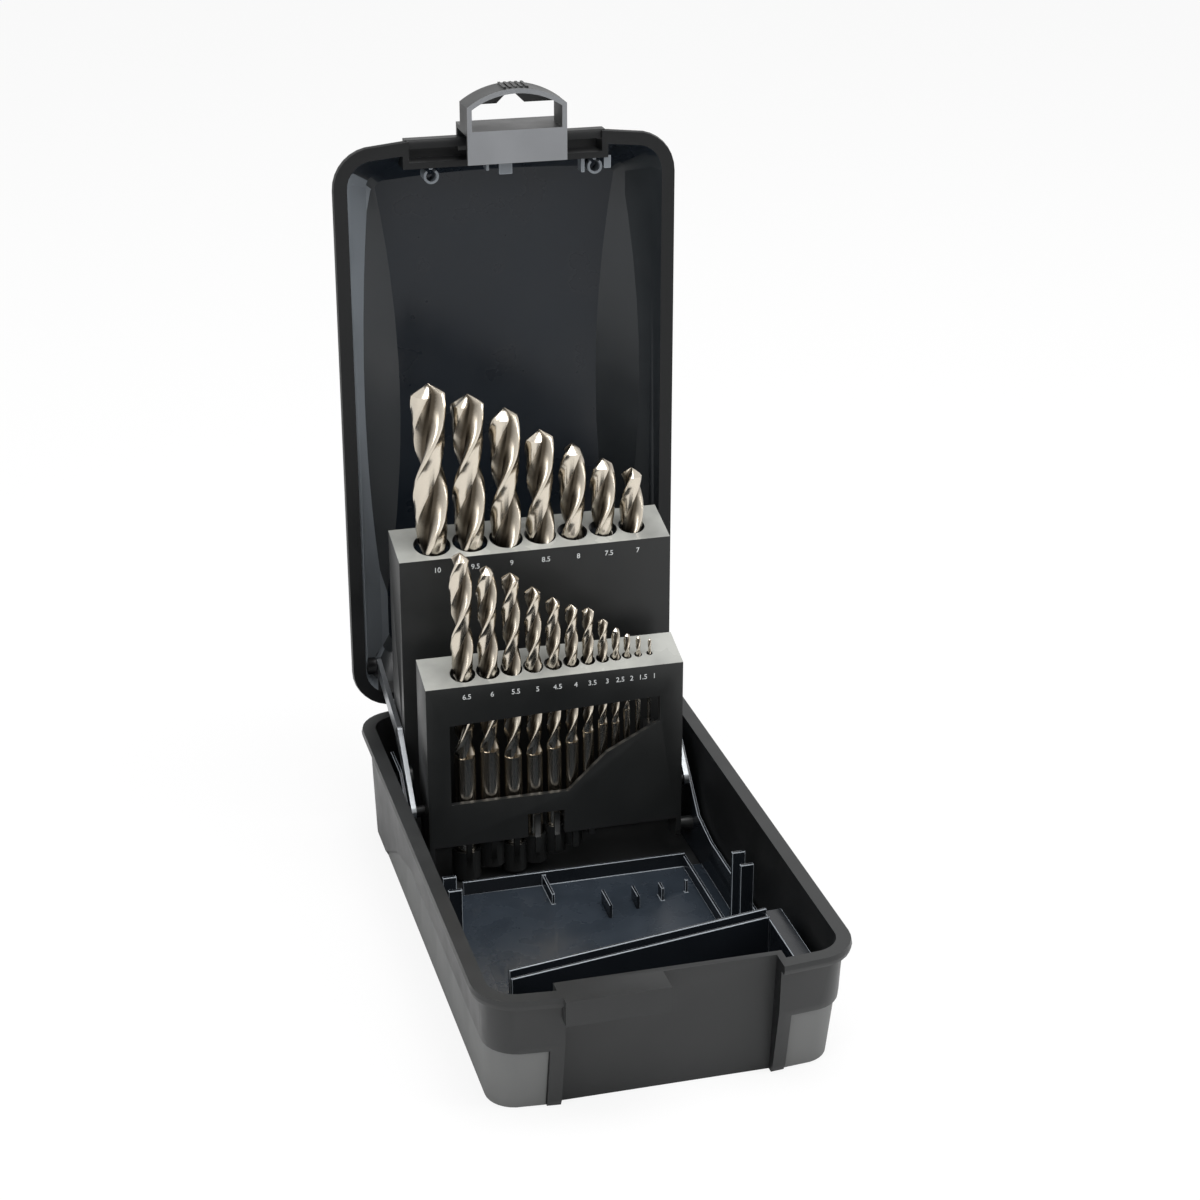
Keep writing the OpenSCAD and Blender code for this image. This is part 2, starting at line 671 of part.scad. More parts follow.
module rack_front() {
    xs = [for (i = [0 : 11]) front_x(i)];
    top = front_ledge_z - 12;
    low = panel_foot_z + 13.5;
    difference() {
        rack(FRONT_DRILLS, xs, front_rack_w, front_rack_d, rack_front_y, front_axis_y,
            front_ledge_z, panel_foot_z, [pivot_y, pivot_z]);
        // Window that shows the shanks, its lower edge rising to the right with the shorter drills
        rack_window(xs, low, top);
        translate([-8.7, rack_front_y - 1, panel_foot_z - 1]) cube([11, panel_t + 1.05, 8.5]);
    }
}

module rack_window(xs, low, top) {
    left = xs[0] - 5.2;
    right = xs[11] + 1.8;
    translate([0, rack_front_y + panel_t + 0.05, 0]) rotate([90, 0, 0]) linear_extrude(panel_t + 1) polygon([
        [left, low], [xs[4] + 3, low], [xs[7], low + 11], [right, top - 6], [right, top + 2], [left, top],
    ]);
}

// One twist drill standing on its shank, its foot on the socket floor
module drill(drill, x, y, z) {
    d = drill[0];
    length = drill[1];
    flute = drill[2];
    r = d / 2;
    lead = 5.6 * d;
    turns = flute / lead;
    tip_h = 0.6 * r;
    color(steel_colour) translate([x, y, z]) {
        cylinder(r = r - 0.02, h = length - flute, $fn = 40);
        intersection() {
            translate([0, 0, length - flute - eps])
                linear_extrude(flute + eps, twist = -360 * turns, slices = ceil(turns * 10), segments = 0)
                    flute_outline(r);
            union() {
                translate([0, 0, length - flute - 1]) cylinder(r = r + 1, h = flute + 1 - tip_h);
                translate([0, 0, length - tip_h]) cylinder(r1 = r + eps, r2 = 0.05, h = tip_h);
            }
        }
    }
}

// Cross-section of a two-flute drill
module flute_outline(r) {
    polygon([for (i = [0 : 9]) let (a = i * 36, k = [1, 1, 0.86, 0.34, 0.66][i % 5]) k * r * [cos(a), sin(a)]]);
}

base_shell();
grip_left();
grip_right();
tray_base();
diagonal_walls();
side_shelf();
bracket_left();
bracket_right();
posts_left();
posts_right();
hinge_pin_left();
hinge_pin_right();
lid_shell();
latch_handle();
link_left();
link_right();
rack_rear();
rack_front();
for (i = [0 : len(REAR_DRILLS) - 1]) drill(REAR_DRILLS[i], rear_x(i), rack_rear_y + rear_axis_y, foot_z(REAR_DRILLS[i], rear_ledge_z));
for (i = [0 : len(FRONT_DRILLS) - 1]) drill(FRONT_DRILLS[i], front_x(i), rack_front_y + front_axis_y, foot_z(FRONT_DRILLS[i], front_ledge_z));
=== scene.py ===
"""Looks of an open drill bit case: moulded shells, soft grips, tray, racks, links, drills and latch handle."""
import logging
import math
from dataclasses import dataclass
from enum import Enum
from typing import Any, Callable, Sequence

import bmesh
import bpy
from mathutils import Matrix, Vector


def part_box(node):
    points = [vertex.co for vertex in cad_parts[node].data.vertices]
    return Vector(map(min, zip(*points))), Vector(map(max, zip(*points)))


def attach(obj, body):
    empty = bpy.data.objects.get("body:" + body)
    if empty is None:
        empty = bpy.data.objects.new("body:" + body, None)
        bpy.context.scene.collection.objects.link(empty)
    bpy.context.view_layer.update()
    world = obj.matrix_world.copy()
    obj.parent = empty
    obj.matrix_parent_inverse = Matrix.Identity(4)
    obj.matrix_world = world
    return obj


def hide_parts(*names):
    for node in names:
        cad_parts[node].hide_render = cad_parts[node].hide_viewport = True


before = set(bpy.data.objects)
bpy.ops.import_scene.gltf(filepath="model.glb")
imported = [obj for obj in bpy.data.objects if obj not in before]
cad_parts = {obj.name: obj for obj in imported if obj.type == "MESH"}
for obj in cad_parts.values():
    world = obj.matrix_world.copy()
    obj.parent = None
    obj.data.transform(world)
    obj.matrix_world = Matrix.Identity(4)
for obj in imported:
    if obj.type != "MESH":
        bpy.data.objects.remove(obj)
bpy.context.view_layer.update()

LOG = logging.getLogger("drill_case")
MM = 0.001
IMAGE_SIDE = 1200
# Sockets of a Mix node for colours, by index because their names repeat
COLOUR_A, COLOUR_B, COLOUR_OUT = 6, 7, 2
# Edges that turn by more than this many degrees stay sharp in the shading of a moulding
SMOOTH_BELOW = 20.0
# A rounded edge catches the light where its normal points up or to the front by at least this much, and there it
# gets a painted highlight
LIT_UP, LIT_FRONT = 0.25, -0.5
# Least share of a normal along an axis for a face to count as flat across it
FLAT = 0.9
Point = tuple[float, float, float]
FaceTest = Callable[[Vector, Vector], bool]


class Slot(Enum):
    """Names of the record's material slots; no piece here takes its finish from them."""

    SHELL = "shell"
    GRIP = "grip"
    TRAY = "tray"
    RACK = "rack"
    LINK = "link"
    STEEL = "steel"
    DRILL = "drill_steel"


class Side(Enum):
    """Left and right of the case, as the end of a node's name."""

    LEFT = "left"
    RIGHT = "right"


def linear(code: str) -> tuple[float, float, float, float]:
    """Turns an sRGB hex colour to linear.

    Args:
        code: Colour as "#rrggbb".

    Returns:
        Linear red, green, blue and an alpha of 1.
    """
    parts = [int(code[i : i + 2], 16) / 255 for i in (1, 3, 5)]
    red, green, blue = [c / 12.92 if c <= 0.04045 else ((c + 0.055) / 1.055) ** 2.4 for c in parts]
    return red, green, blue, 1.0


def add_node(tree: bpy.types.NodeTree, kind: str, settings: dict[Any, Any], **links: Any) -> bpy.types.Node:
    """Adds one node with its settings, values and incoming links.

    Args:
        tree: Node tree to add to.
        kind: Blender's name of the node type.
        settings: Attributes of the node by name, and input values by input index or name.
        **links: Output sockets by input name, with _ for a space, or by i0, i1 and so on.

    Returns:
        The new node.
    """
    node = tree.nodes.new(kind)
    for key, value in settings.items():
        if isinstance(key, int) or key in node.inputs:
            node.inputs[key].default_value = value
        else:
            setattr(node, key, value)
    for key, socket in links.items():
        name: Any = int(key[1:]) if key[0] == "i" and key[1:].isdigit() else key.replace("_", " ")
        tree.links.new(socket, node.inputs[name])
    return node


@dataclass(frozen=True)
class MouldedPlastic:
    """Moulded plastic, or ink printed on it: fine moulded grain with faint patches of polish and dust."""

    name: str
    colour: str
    # Colour of the random patches: rubbed wear on most plastics, brighter painted light on the rack ledges
    rubbed: str
    roughness: float = 0.42
    grain_mm: float = 0.9
    bump_mm: float = 0.02
    patch_mm: float = 14.0
    gloss: float = 0.35
    ior: float = 1.49
    shinier: float = 0.06
    duller: float = 0.07
    bump_strength: float = 0.35

    def material(self) -> bpy.types.Material:
        """Builds the material once.

        Returns:
            The material, the same one at each call.
        """
        if self.name in bpy.data.materials:
            return bpy.data.materials[self.name]
        made = bpy.data.materials.new(self.name)
        made.use_nodes = True
        tree = made.node_tree
        shader = tree.nodes["Principled BSDF"]
        shader.inputs["IOR"].default_value = self.ior
        shader.inputs["Specular IOR Level"].default_value = self.gloss
        where = add_node(tree, "ShaderNodeTexCoord", {})
        # The real grain is about 0.1 mm, finer than a pixel, so it is drawn coarser to show
        grain = add_node(tree, "ShaderNodeTexNoise", {"Scale": 1 / (self.grain_mm * MM), "Detail": 3.0},
                         Vector=where.outputs["Object"])
        patch = add_node(tree, "ShaderNodeTexNoise", {"Scale": 1 / (self.patch_mm * MM), "Detail": 4.0},
                         Vector=where.outputs["Object"])
        tint = add_node(tree, "ShaderNodeMix", {"data_type": "RGBA"}, Factor=patch.outputs["Fac"])
        tint.inputs[COLOUR_A].default_value = linear(self.colour)
        tint.inputs[COLOUR_B].default_value = linear(self.rubbed)
        polish = add_node(tree, "ShaderNodeMapRange", {
            "From Min": 0.3, "From Max": 0.7, "To Min": self.roughness - self.shinier,
            "To Max": self.roughness + self.duller}, Value=patch.outputs["Fac"])
        bump = add_node(tree, "ShaderNodeBump", {"Strength": self.bump_strength, "Distance": self.bump_mm * MM},
                        Height=grain.outputs["Fac"])
        tree.links.new(tint.outputs[COLOUR_OUT], shader.inputs["Base Color"])
        tree.links.new(polish.outputs["Result"], shader.inputs["Roughness"])
        tree.links.new(bump.outputs["Normal"], shader.inputs["Normal"])
        return made


@dataclass(frozen=True)
class GroundSteel:
    """Ground, drawn or plated steel: metallic, with fine scratches that run round or along the piece, and painted
    shade that darkens the deeper parts where a depth attribute is given.
    """

    name: str
    colour: str
    shade: str
    roughness: float = 0.27
    scratch_mm: float = 0.6
    stretch: Point = (1.0, 1.0, 6.0)
    depth_attribute: str = ""
    scratch_share: float = 0.35
    shinier: float = 0.05
    duller: float = 0.15
    bump_mm: float = 0.01
    bump_strength: float = 0.2

    def material(self) -> bpy.types.Material:
        """Builds the material once.

        Returns:
            The material, the same one at each call.
        """
        if self.name in bpy.data.materials:
            return bpy.data.materials[self.name]
        made = bpy.data.materials.new(self.name)
        made.use_nodes = True
        tree = made.node_tree
        shader = tree.nodes["Principled BSDF"]
        shader.inputs["Metallic"].default_value = 1.0
        where = add_node(tree, "ShaderNodeTexCoord", {})
        drawn = add_node(tree, "ShaderNodeMapping", {"Scale": self.stretch}, Vector=where.outputs["Object"])
        scratch = add_node(tree, "ShaderNodeTexNoise", {"Scale": 1 / (self.scratch_mm * MM), "Detail": 5.0},
                           Vector=drawn.outputs["Vector"])
        share = scratch.outputs["Fac"]
        if self.depth_attribute:
            # Painted shade: flutes darker the deeper they are cut
            depth = add_node(tree, "ShaderNodeAttribute", {"attribute_name": self.depth_attribute})
            mixed = add_node(tree, "ShaderNodeMath", {
                "operation": "MULTIPLY_ADD", 1: self.scratch_share, "use_clamp": True},
                i0=scratch.outputs["Fac"], i2=depth.outputs["Fac"])
            share = mixed.outputs[0]
        tint = add_node(tree, "ShaderNodeMix", {"data_type": "RGBA"}, Factor=share)
        tint.inputs[COLOUR_A].default_value = linear(self.colour)
        tint.inputs[COLOUR_B].default_value = linear(self.shade)
        polish = add_node(tree, "ShaderNodeMapRange", {
            "From Min": 0.3, "From Max": 0.9, "To Min": self.roughness - self.shinier,
            "To Max": self.roughness + self.duller}, Value=share)
        bump = add_node(tree, "ShaderNodeBump", {"Strength": self.bump_strength, "Distance": self.bump_mm * MM},
                        Height=scratch.outputs["Fac"])
        tree.links.new(tint.outputs[COLOUR_OUT], shader.inputs["Base Color"])
        tree.links.new(polish.outputs["Result"], shader.inputs["Roughness"])
        tree.links.new(bump.outputs["Normal"], shader.inputs["Normal"])
        return made


Finish = MouldedPlastic | GroundSteel

# Moulded polypropylene: soft black, paler in patches where hands rub it, smooth and a little blue inside the lid
SHELL_PP = MouldedPlastic("black moulded polypropylene", "#1f2021", "#2a2b2b", roughness=0.42)
# Painted highlight: pale grey on the shell's rounded edges that face up or to the front
SHELL_EDGE_HIGHLIGHT_PP = MouldedPlastic("polypropylene with painted edge highlights", "#4c4f51", "#5c5f61", roughness=0.34)
# Darker black: painted shade on the base's inner walls, and the lid's ground colour
SHELL_DARK_PP = MouldedPlastic("darker black polypropylene", "#0c0d0e", "#131415", roughness=0.4, gloss=0.25)
# Inside the open lid, lit and shaded copies of one black: the panel and end wall painted shade, the left wall
# painted light, the slopes and right wall near the shell's own black
LID_SHADED_PANEL_PP = MouldedPlastic("smooth polypropylene lid panel painted shade", "#10151b", "#171d24", roughness=0.3, gloss=0.3)
LID_SLOPE_PP = MouldedPlastic("smooth polypropylene lid slope", "#1d2023", "#25292c", roughness=0.36, gloss=0.4)
LID_LIT_WALL_PP = MouldedPlastic("smooth polypropylene lid wall painted lit", "#666b70", "#757b81", roughness=0.38, gloss=0.5)
# Painted highlight: pale grey on the front faces of the black latch handle's flange
HANDLE_LIT_PP = MouldedPlastic("polypropylene latch face painted lit grey", "#6a6c6f", "#7c7e81", roughness=0.4, gloss=0.5)
# Soft elastomer: grey and dull, without a clear highlight
GRIP_TPE = MouldedPlastic("grey soft thermoplastic elastomer", "#5c5d5d", "#686968", roughness=0.62, grain_mm=0.7)
# Moulded polystyrene: glossy blue-black, with pale lines painted as highlight where light runs along its thin
# edges
TRAY_PS = MouldedPlastic("dark gloss polystyrene tray", "#14171b", "#1b1f24", roughness=0.2, bump_mm=0.008,
                         gloss=0.45)
# Paler on the tray's floor faces that look up
TRAY_FLOOR_PS = MouldedPlastic("paler gloss polystyrene tray floor", "#252b32", "#343c45", roughness=0.26,
                               bump_mm=0.008, patch_mm=9.0, gloss=0.5)
TRAY_EDGE_HIGHLIGHT_PS = MouldedPlastic("polystyrene with lit moulded edges", "#8d949b", "#a9afb5", roughness=0.25,
                              bump_mm=0.004)
# Moulded ABS: even black panels, and ledge tops painted light grey in patches for the overhead light they catch
RACK_ABS = MouldedPlastic("black moulded ABS", "#1c1d1d", "#262727", roughness=0.36, bump_mm=0.012)
RACK_LEDGE_LIT_ABS = MouldedPlastic("ABS ledge painted lit", "#6c6d6b", "#c3c4be", roughness=0.24, bump_mm=0.006,
                                patch_mm=18.0, gloss=0.6)
# Painted highlight: pale grey on the rounded edges of the racks and the latch handle that face up or to the front
RACK_EDGE_HIGHLIGHT_ABS = MouldedPlastic("ABS with painted edge highlights", "#777876", "#8f908d", roughness=0.3)
# Steel: cool on the plated links and drawn pins, warm on the ground drills, whose flutes are painted dark as
# shade
LINK_STEEL = GroundSteel("bright zinc plated steel strip", "#a8abad", "#83868a", roughness=0.32)
PIN_STEEL = GroundSteel("drawn steel pin", "#b4b5b6", "#8c8d8e", roughness=0.3)
DRILL_HSS = GroundSteel("bright ground high speed steel", "#d8cfc0", "#4d463c", roughness=0.26,
                        depth_attribute="flute_depth")
# Pad printing ink: flat white
INK = MouldedPlastic("white pad printing ink", "#d9dcdc", "#c9cccc", roughness=0.5, grain_mm=0.5, bump_mm=0.004)


@dataclass(frozen=True)
class Rounding:
    """Rounding of sharp edges: width and least length in millimetres, least turn in degrees.

    Blender's overlap clamp narrows the width of the whole piece where one edge has little room. On the
    shells, the latch handle and the racks it leaves only a small share of the width.
    """

    width: float
    turn: float = 35.0
    shortest: float = 0.9
    segments: int = 2


@dataclass(frozen=True)
class Accent:
    """A finish for the faces that pass a test of their middle, in millimetres, and of their normal."""

    finish: Finish
    test: FaceTest


def object_of(name: str, mesh: bpy.types.Mesh) -> bpy.types.Object:
    """Puts a mesh in the scene as an object at the origin.

    Args:
        name: Name of the piece.
        mesh: Finished mesh in metres, in the case's frame.

    Returns:
        The new object.
    """
    mesh.name = name
    piece = bpy.data.objects.new(name, mesh)
    bpy.context.scene.collection.objects.link(piece)
    return piece


def applied(piece: bpy.types.Object) -> bpy.types.Mesh:
    """Evaluates an object with its modifiers and removes it.

    Args:
        piece: Object whose modifiers are to be made real.

    Returns:
        Plain mesh without modifiers.
    """
    bpy.context.view_layer.update()
    graph = bpy.context.evaluated_depsgraph_get()
    mesh = bpy.data.meshes.new_from_object(piece.evaluated_get(graph), depsgraph=graph)
    bpy.data.objects.remove(piece)
    return mesh


def mesh_of(name: str, grid: bmesh.types.BMesh) -> bpy.types.Mesh:
    """Turns a mesh under construction into a finished one.

    Args:
        name: Name of the mesh.
        grid: Mesh under construction, which is freed.

    Returns:
        The finished mesh.
    """
    mesh = bpy.data.meshes.new(name)
    grid.to_mesh(mesh)
    grid.free()
    return mesh


def merged_copy(node: str) -> bpy.types.Mesh:
    """Copies a CAD node's mesh with its loose triangles merged and its flat faces joined up.

    Args:
        node: Name of the CAD node.

    Returns:
        Merged mesh in metres.
    """
    weld = 2e-6
    flat_turn = math.radians(0.6)
    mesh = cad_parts[node].data.copy()
    grid = bmesh.new()
    grid.from_mesh(mesh)
    bmesh.ops.remove_doubles(grid, verts=grid.verts, dist=weld)
    bmesh.ops.dissolve_limit(grid, angle_limit=flat_turn, verts=grid.verts, edges=grid.edges)
    grid.to_mesh(mesh)
    grid.free()
    return mesh


def mark_edges(mesh: bpy.types.Mesh, rounding: Rounding) -> None:
    """Marks the edges that are to be rounded with a bevel weight of 1.

    Args:
        mesh: Merged mesh in metres.
        rounding: Least turn and least length of those edges.
    """
    grid = bmesh.new()
    grid.from_mesh(mesh)
    weight = grid.edges.layers.float.new("bevel_weight_edge")
    for line in grid.edges:
        sharp = line.calc_face_angle(0.0) > math.radians(rounding.turn)
        line[weight] = float(sharp and line.calc_length() > rounding.shortest * MM)
    grid.to_mesh(mesh)
    grid.free()


def rounded(name: str, mesh: bpy.types.Mesh, rounding: Rounding, finish: Finish, edge: Finish | None = None,
            accents: Sequence[Accent] = ()) -> bpy.types.Object:
    """Rounds the sharp edges of a mesh, shades the rest smooth and gives its faces their finishes.

    Args:
        name: Name of the piece.
        mesh: Merged mesh in metres.
        rounding: Rounding of its edges.
        finish: Finish of the piece.
        edge: Finish of the painted highlight on the rounded edges that face up or to the front, if they have one
            of their own.
        accents: Further finishes. Where two tests pass, the later one counts.

    Returns:
        The finished object.
    """
    mesh.materials.clear()
    for layer in (finish, edge or finish, *[accent.finish for accent in accents]):
        mesh.materials.append(layer.material())
    mesh.polygons.foreach_set("material_index", [0] * len(mesh.polygons))
    mark_edges(mesh, rounding)
    blank = object_of(name + "_blank", mesh)
    bevel = blank.modifiers.new("rounding", "BEVEL")
    bevel.width = rounding.width * MM
    bevel.segments = rounding.segments
    bevel.limit_method = "WEIGHT"
    bevel.use_clamp_overlap = True
    bevel.material = 1
    made = applied(blank)
    for face in made.polygons:
        # Rounded faces keep the painted edge highlight only where they face up or to the front
        if face.material_index == 1:
            if face.normal.z < LIT_UP and face.normal.y > LIT_FRONT:
                face.material_index = 0
            continue
        for i, accent in enumerate(accents):
            if accent.test(face.center / MM, face.normal):
                face.material_index = i + 2
    made.shade_smooth()
    made.set_sharp_from_angle(angle=math.radians(SMOOTH_BELOW))
    return object_of(name, made)


def dress(piece: bpy.types.Object, body: str, finish: Finish | None = None,
          nodes: Sequence[str] = ()) -> None:
    """Gives a piece its finish, its body and the CAD nodes that it stands for.

    Args:
        piece: Finished object at the origin.
        body: CAD body that it moves with.
        finish: Finish of the piece, or None where it has its materials already.
        nodes: CAD nodes that the piece replaces.
    """
    if finish:
        piece.data.materials.clear()
        piece.data.materials.append(finish.material())
    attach(piece, body)
    if nodes:
        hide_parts(*nodes)
    LOG.info("%s on %s: %d faces", piece.name, body, len(piece.data.polygons))


def mould(node: str, body: str, rounding: Rounding, finish: Finish, edge: Finish | None = None,
          accents: Sequence[Accent] = ()) -> None:
    """Rounds a copy of a CAD node, gives it its finishes and lets it stand for the node.

    Args:
        node: Name of the CAD node.
        body: CAD body that it moves with.
        rounding: Rounding of its edges.
        finish: Finish of the piece.
        edge: Finish of the painted highlight on the lit edges, if they have one of their own.
        accents: Further finishes with their tests.
    """
    piece = rounded(node + "_moulding", merged_copy(node), rounding, finish, edge, accents)
    dress(piece, body, nodes=[node])


@dataclass
class BaseShell:
    """Lower half of the case: the shell, its soft grips and the hinge pins."""

    shell_rounding: Rounding = Rounding(0.35)
    grip_rounding: Rounding = Rounding(0.3)
    pin_rounding: Rounding = Rounding(0.2)
    least_inward: float = 5.0
    most_lean: float = 0.4
    floor_top: float = 2.0

    def is_inner_wall(self, at: Vector, normal: Vector) -> bool:
        """Tells a wall that looks towards the middle of the case.

        Args:
            at: Middle of the face in millimetres.
            normal: Normal of the face.

        Returns:
            Whether the face belongs to such a wall.
        """
        inward = normal.x * at.x + normal.y * at.y < -self.least_inward
        return inward and abs(normal.z) < self.most_lean and at.z > self.floor_top

    def build(self) -> None:
        """Builds the shell, then a grip and a hinge pin on each side."""
        # The base's inner walls take the darker black as painted shade
        mould("base_shell", "base", self.shell_rounding, SHELL_PP, SHELL_EDGE_HIGHLIGHT_PP,
              [Accent(SHELL_DARK_PP, self.is_inner_wall)])
        for side in Side:
            mould(f"grip_{side.value}", "base", self.grip_rounding, GRIP_TPE)
            mould(f"hinge_pin_{side.value}", "base", self.pin_rounding, PIN_STEEL)


@dataclass
class Tray:
    """Tray in the base: its floor part, the walls, and the brackets and posts on both sides."""

    floor_rounding: Rounding = Rounding(0.18)
    wall_rounding: Rounding = Rounding(0.2)
    floor_top: float = 3.0

    def is_floor(self, at: Vector, normal: Vector) -> bool:
        """Tells the floor of the tray.

        Args:
            at: Middle of the face in millimetres.
            normal: Normal of the face.

        Returns:
            Whether the face belongs to the floor.
        """
        return normal.z > FLAT and at.z < self.floor_top

    def build(self) -> None:
        """Builds the floor part and the walls on it."""
        mould("tray_base", "base", self.floor_rounding, TRAY_PS, TRAY_EDGE_HIGHLIGHT_PS,
              [Accent(TRAY_FLOOR_PS, self.is_floor)])
        pairs = [f"{part}_{side.value}" for part in ("bracket", "posts") for side in Side]
        for node in ("diagonal_walls", "side_shelf", *pairs):
            mould(node, "base", self.wall_rounding, TRAY_PS, TRAY_EDGE_HIGHLIGHT_PS)


@dataclass
class Lid:
    """Upper half of the case, open: its panel, and the slopes and walls round it, in millimetres."""

    rounding: Rounding = Rounding(0.35)
    least_front: float = 0.96
    panel_y: float = 101.0
    slope_front: float = 0.45
    slope_y: float = 93.0
    slope_reach: float = 46.0
    wall_normal: float = 0.6
    wall_reach: tuple[float, float] = (36.0, 46.5)
    wall_y: float = 89.0
    end_normal: float = 0.5
    end_z: float = 190.0
    end_y: float = 90.0

    def accents(self) -> list[Accent]:
        """Tells the inner faces of the lid by their places and normals.

        Returns:
            The finishes of the panel, the slopes, both side walls and the end wall, in this order: the panel and
            end wall painted shade, the left wall painted light.
        """
        near, far = self.wall_reach
        return [
            Accent(LID_SHADED_PANEL_PP, lambda at, n: n.y < -self.least_front and at.y > self.panel_y),
            Accent(LID_SLOPE_PP, lambda at, n: -self.least_front <= n.y < -self.slope_front
                   and at.y > self.slope_y and abs(at.x) < self.slope_reach),
            Accent(LID_LIT_WALL_PP, lambda at, n: n.x > self.wall_normal and -far < at.x < -near
                   and at.y > self.wall_y),
            Accent(LID_SLOPE_PP, lambda at, n: n.x < -self.wall_normal and near < at.x < far
                   and at.y > self.wall_y),
            Accent(LID_SHADED_PANEL_PP, lambda at, n: n.z < -self.end_normal and at.z > self.end_z
                   and at.y > self.end_y),
        ]

    def build(self) -> None:
        """Builds the lid's shell."""
        # The lid's other faces take the darker black
        mould("lid_shell", "lid", self.rounding, SHELL_DARK_PP, SHELL_EDGE_HIGHLIGHT_PP, self.accents())


@dataclass
class LidFittings:
    """Small ring bosses and tabs on the end wall inside the open lid, in millimetres."""

    rounding: Rounding = Rounding(0.15, turn=40.0)
    wall_z: float = 201.9
    ring_places: tuple[float, ...] = (-21.4, 26.4)
    ring_z: float = 199.0
    ring_r: float = 2.2
    ring_wall: float = 0.7
    ring_y: tuple[float, float] = (90.2, 95.5)
    ring_start: float = 130.0
    ring_sweep: float = 280.0
    ring_steps: int = 24
    stem_half: float = 0.5
    stem_y: tuple[float, float] = (90.6, 95.2)
    stem_overlap: float = 0.4
    tabs: tuple[tuple[Point, Point], ...] = (
        ((22.4, 90.4, 197.4), (23.4, 94.5, 202.0)), ((29.0, 89.6, 198.4), (31.0, 90.6, 202.0)),
        ((-1.6, 90.6, 198.2), (2.2, 92.0, 202.0)), ((-5.4, 90.4, 199.6), (-4.6, 95.0, 202.0)))

    def bar(self, grid: bmesh.types.BMesh, low: Point, high: Point) -> None:
        """Adds a closed bar.

        Args:
            grid: Mesh to add to.
            low: Lowest corner in millimetres.
            high: Highest corner in millimetres.
        """
        size = [b - a for a, b in zip(low, high)]
        middle = [(a + b) / 2 * MM for a, b in zip(low, high)]
        spread = Matrix.Translation(middle) @ Matrix.Diagonal([s * MM for s in size] + [1])
        bmesh.ops.create_cube(grid, size=1.0, matrix=spread)

    def ring(self, grid: bmesh.types.BMesh, x: float) -> None:
        """Adds one open ring boss, its axis along Y.

        Args:
            grid: Mesh to add to.
            x: Place of its axis across the case in millimetres.
        """
        front, back = self.ring_y
        bore = self.ring_r - self.ring_wall
        turns = [math.radians(self.ring_start + self.ring_sweep * i / self.ring_steps)
                 for i in range(self.ring_steps + 1)]
        loops = [[grid.verts.new(((x + r * math.cos(a)) * MM, y * MM, (self.ring_z + r * math.sin(a)) * MM))
                  for a in turns]
                 for r, y in ((self.ring_r, front), (self.ring_r, back), (bore, back), (bore, front))]
        for a, b in zip(loops, loops[1:] + loops[:1]):
            for i in range(self.ring_steps):
                grid.faces.new((a[i], b[i], b[i + 1], a[i + 1]))
        for end in (0, self.ring_steps):
            grid.faces.new([loop[end] for loop in loops])

    def build(self) -> None:
        """Joins the bosses, their stems and the tabs into one piece on the lid."""
        grid = bmesh.new()
        front, back = self.stem_y
        foot = self.ring_z + self.ring_r - self.stem_overlap
        for x in self.ring_places:
            self.ring(grid, x)
            self.bar(grid, (x - self.stem_half, front, foot), (x + self.stem_half, back, self.wall_z))
        for low, high in self.tabs:
            self.bar(grid, low, high)
        bmesh.ops.recalc_face_normals(grid, faces=grid.faces)
        mesh = mesh_of("lid_fittings", grid)
        # The fittings take the lid wall's painted light grey
        dress(rounded("lid_fittings", mesh, self.rounding, LID_LIT_WALL_PP, TRAY_EDGE_HIGHLIGHT_PS), "lid")


@dataclass
class LatchHandle:
    """Handle that slides on the lid: arched grip and a flange that faces the front."""

    rounding: Rounding = Rounding(0.3)
    flange_y: float = 79.5

    def is_flange(self, at: Vector, normal: Vector) -> bool:
        """Tells the front of the flange.

        Args:
            at: Middle of the face in millimetres.
            normal: Normal of the face.

        Returns:
            Whether the face belongs to the front of the flange.
        """
        return normal.y < -FLAT and at.y < self.flange_y

    def build(self) -> None:
        """Builds the handle."""
        mould("latch_handle", "latch", self.rounding, SHELL_PP, RACK_EDGE_HIGHLIGHT_ABS,
              [Accent(HANDLE_LIT_PP, self.is_flange)])


@dataclass
class Linkage:
    """The two flat links that stand the racks up."""

    rounding: Rounding = Rounding(0.2)

    def build(self) -> None:
        """Builds one link on each side."""
        for side in Side:
            node = f"link_{side.value}"
            mould(node, node, self.rounding, LINK_STEEL)


@dataclass(frozen=True)
class DrillSize:
    """One size of the set: diameter and flute length in millimetres."""

    diameter: float
    flute: float

    @property
    def node(self) -> str:
        """Names the drill's CAD node, such as bit_065 for 6.5 mm."""
        return f"bit_{round(self.diameter * 10):03d}"


REAR_SET = [DrillSize(d, flute) for d, flute in (
    (10, 87), (9.5, 81), (9, 81), (8.5, 75), (8, 75), (7.5, 69), (7, 69))]
FRONT_SET = [DrillSize(d, flute) for d, flute in (
    (6.5, 63), (6, 57), (5.5, 57), (5, 52), (4.5, 47), (4, 43), (3.5, 39), (3, 33), (2.5, 30), (2, 24),
    (1.5, 18), (1, 12))]


